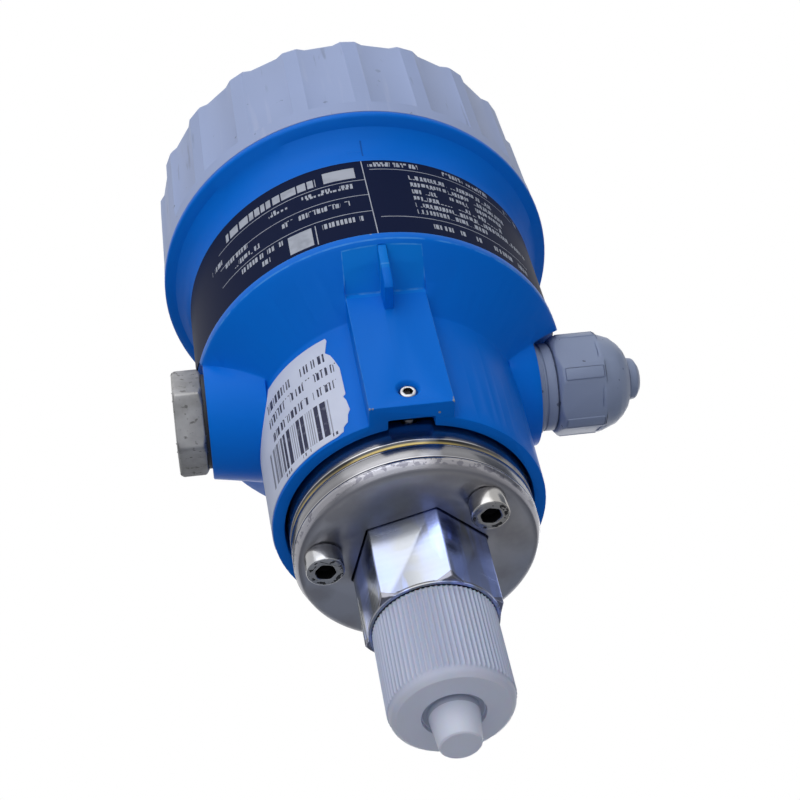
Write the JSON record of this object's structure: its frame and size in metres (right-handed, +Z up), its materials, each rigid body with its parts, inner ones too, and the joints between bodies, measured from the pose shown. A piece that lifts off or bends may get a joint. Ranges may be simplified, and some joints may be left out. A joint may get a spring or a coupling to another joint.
{
  "type": "pressure transmitter",
  "caption": "Pressure transmitter: blue cast housing with a lobed screw lid, cable gland, blanking plug, clamped steel sensor and a capped threaded connection.",
  "frame": {"origin": "centre of the sealing shoulder under the hexagon, where the process thread starts", "axes": "+Z runs up the axis to the lid, +X out through the cable gland, -Y out of the pad with the lock screw"},
  "size_m": [0.1139, 0.1016, 0.1914],
  "materials": {
    "steel": "turned stainless steel",
    "cast_steel": "matt cast stainless steel",
    "screw_steel": "bright stainless steel",
    "housing_paint": "bright blue powder coat, satin",
    "lid_paint": "light blue-grey powder coat, satin",
    "label_foil": "dark navy film with thin white lines",
    "paper": "white paper with dark bars, torn",
    "gland_plastic": "grey polyamide, satin",
    "seal_rubber": "black rubber",
    "plug_metal": "bare cast metal, scuffed",
    "ceramic": "white alumina",
    "cap_plastic": "milky translucent polyethylene",
    "black_plastic": "black moulding",
    "green_plastic": "green moulding",
    "circuit_board": "green lacquered laminate",
    "lead_film": "amber film",
    "white_plastic": "white moulding",
    "led_lens": "green lens",
    "brass": "plain brass"
  },
  "bodies": {
    "process_side": {"process_connection": "steel", "clamp_flange": "cast_steel", "flange_screws": "screw_steel", "sensor_body": "steel", "neck_ring": "seal_rubber", "ceramic_cell": "ceramic", "cell_ring": "seal_rubber", "clamp_ring": "steel", "board_spacer": "black_plastic", "sensor_board": "circuit_board", "sensor_lead": "lead_film"},
    "cap": {"thread_cap": "cap_plastic"},
    "housing_side": {"housing": "housing_paint", "nameplate": "label_foil", "sticker": "paper", "gland_body": "gland_plastic", "gland_seal": "seal_rubber", "gland_insert": "seal_rubber", "blanking_plug": "plug_metal", "plug_seal": "seal_rubber", "lid_ring": "seal_rubber", "electronics_module": "black_plastic", "main_board": "circuit_board", "module_screws": "screw_steel", "terminal_block": "green_plastic", "terminal_screws": "screw_steel", "dip_block": "black_plastic", "status_led": "led_lens", "earth_screw": "brass"},
    "lid_side": {"lid": "lid_paint"},
    "lock": {"lock_screw": "screw_steel"},
    "gland_nut": {"dome_nut": "gland_plastic"},
    "plug": {"dust_plug": "gland_plastic"},
    "zero": {"zero_key": "black_plastic"},
    "span": {"span_key": "black_plastic"},
    "slider_1": {"dip_slider_1": "white_plastic"},
    "slider_2": {"dip_slider_2": "white_plastic"},
    "slider_3": {"dip_slider_3": "white_plastic"},
    "slider_4": {"dip_slider_4": "white_plastic"}
  },
  "joints": [
    {"name": "housing_turn", "type": "hinge", "parent": "process_side", "child": "housing_side", "pos_m": [0, 0, 0.05], "axis": [0, 0, 1], "range_deg": [-190, 190]},
    {"name": "thread_cap_pull", "type": "slide", "parent": "process_side", "child": "cap", "axis": [0, 0, -1], "range_m": [0, 0.035]},
    {"name": "lid_lift", "type": "slide", "parent": "housing_side", "child": "lid_side", "axis": [0, 0, 1], "range_m": [0, 0.06]},
    {"name": "lock_screw_travel", "type": "slide", "parent": "housing_side", "child": "lock", "axis": [0, -1, 0], "range_m": [0, 0.003]},
    {"name": "dome_nut_turn", "type": "hinge", "parent": "housing_side", "child": "gland_nut", "pos_m": [0.055, 0, 0.0716], "axis": [1, 0, 0], "range_deg": [0, 720]},
    {"name": "dust_plug_pull", "type": "slide", "parent": "housing_side", "child": "plug", "axis": [1, 0, 0], "range_m": [0, 0.02]},
    {"name": "zero_key_press", "type": "slide", "parent": "housing_side", "child": "zero", "axis": [0, 0, -1], "range_m": [0, 0.0006], "stiffness_N_per_m": 800, "springref_m": -0.0006},
    {"name": "span_key_press", "type": "slide", "parent": "housing_side", "child": "span", "axis": [0, 0, -1], "range_m": [0, 0.0006], "stiffness_N_per_m": 800, "springref_m": -0.0006},
    {"name": "dip_slider_1_move", "type": "slide", "parent": "housing_side", "child": "slider_1", "axis": [0, 1, 0], "range_m": [0, 0.0014]},
    {"name": "dip_slider_2_move", "type": "slide", "parent": "housing_side", "child": "slider_2", "axis": [0, 1, 0], "range_m": [0, 0.0014]},
    {"name": "dip_slider_3_move", "type": "slide", "parent": "housing_side", "child": "slider_3", "axis": [0, 1, 0], "range_m": [0, 0.0014]},
    {"name": "dip_slider_4_move", "type": "slide", "parent": "housing_side", "child": "slider_4", "axis": [0, 1, 0], "range_m": [0, 0.0014]}
  ]
}
